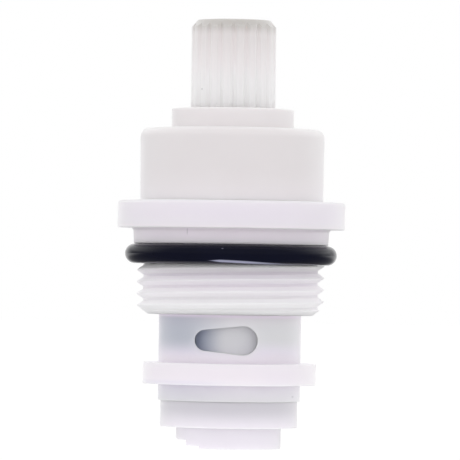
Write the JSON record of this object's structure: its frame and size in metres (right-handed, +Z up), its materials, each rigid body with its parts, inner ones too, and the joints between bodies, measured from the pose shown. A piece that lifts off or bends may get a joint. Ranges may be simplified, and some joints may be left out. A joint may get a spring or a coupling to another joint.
{
  "type": "faucet stem",
  "caption": "Washerless quarter-turn faucet stem in white plastic: splined spindle, bonnet cap, flanged and threaded body with O-ring, outlet port and stepped nose.",
  "frame": {"origin": "centre of the nose's end face, on the stem's axis", "axes": "+Z up the stem to the splined end, -Y out of the outlet port, +X to the right seen from the port"},
  "size_m": [0.027, 0.027, 0.0508],
  "materials": {
    "white_acetal": "moulded white acetal, satin",
    "natural_acetal": "moulded natural acetal, satin and slightly translucent",
    "black_rubber": "smooth nitrile rubber, greased",
    "ceramic": "lapped alumina ceramic",
    "washer_plastic": "matt fluoropolymer"
  },
  "bodies": {
    "housing": {"housing": "white_acetal", "body_o_ring": "black_rubber", "bonnet_cap": "natural_acetal", "cap_o_ring": "black_rubber", "stop_ring": "white_acetal", "inlet_sleeve": "white_acetal", "seat_seal": "black_rubber", "fixed_disc": "ceramic"},
    "spindle": {"spindle": "natural_acetal", "upper_stem_o_ring": "black_rubber", "lower_stem_o_ring": "black_rubber", "thrust_washer": "washer_plastic", "rotor": "natural_acetal", "rotor_o_ring": "black_rubber", "moving_disc": "ceramic"}
  },
  "joints": [
    {"name": "spindle_turn", "type": "hinge", "parent": "housing", "child": "spindle", "pos_m": [0, 0, 0.03], "axis": [0, 0, 1], "range_deg": [0, 90]}
  ]
}
